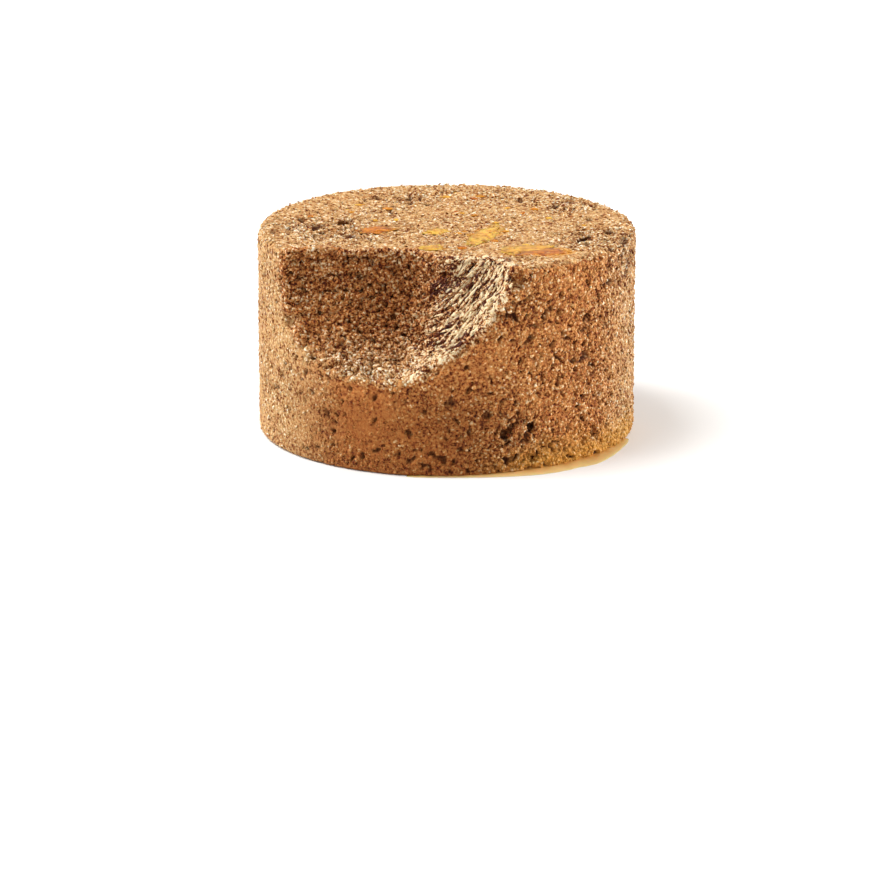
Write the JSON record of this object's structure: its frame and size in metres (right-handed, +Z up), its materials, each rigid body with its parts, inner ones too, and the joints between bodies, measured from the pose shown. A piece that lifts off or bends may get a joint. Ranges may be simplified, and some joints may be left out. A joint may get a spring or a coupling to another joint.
{
  "type": "turned-out loaf of canned pate pet food",
  "caption": "Short round loaf of meat pate, moulded by its can, with one spoonful taken out of its upper front edge.",
  "frame": {"origin": "middle of the flat foot, on the can's axis", "axes": "+Z up along the can's axis, -Y to the front, where the spoonful was taken, +X to the right of it"},
  "size_m": [0.072, 0.072, 0.0395],
  "materials": {
    "pate": "coarse cooked meat emulsion, moist and slightly glossy"
  },
  "bodies": {
    "root": {"pate_loaf": "pate"}
  },
  "joints": []
}
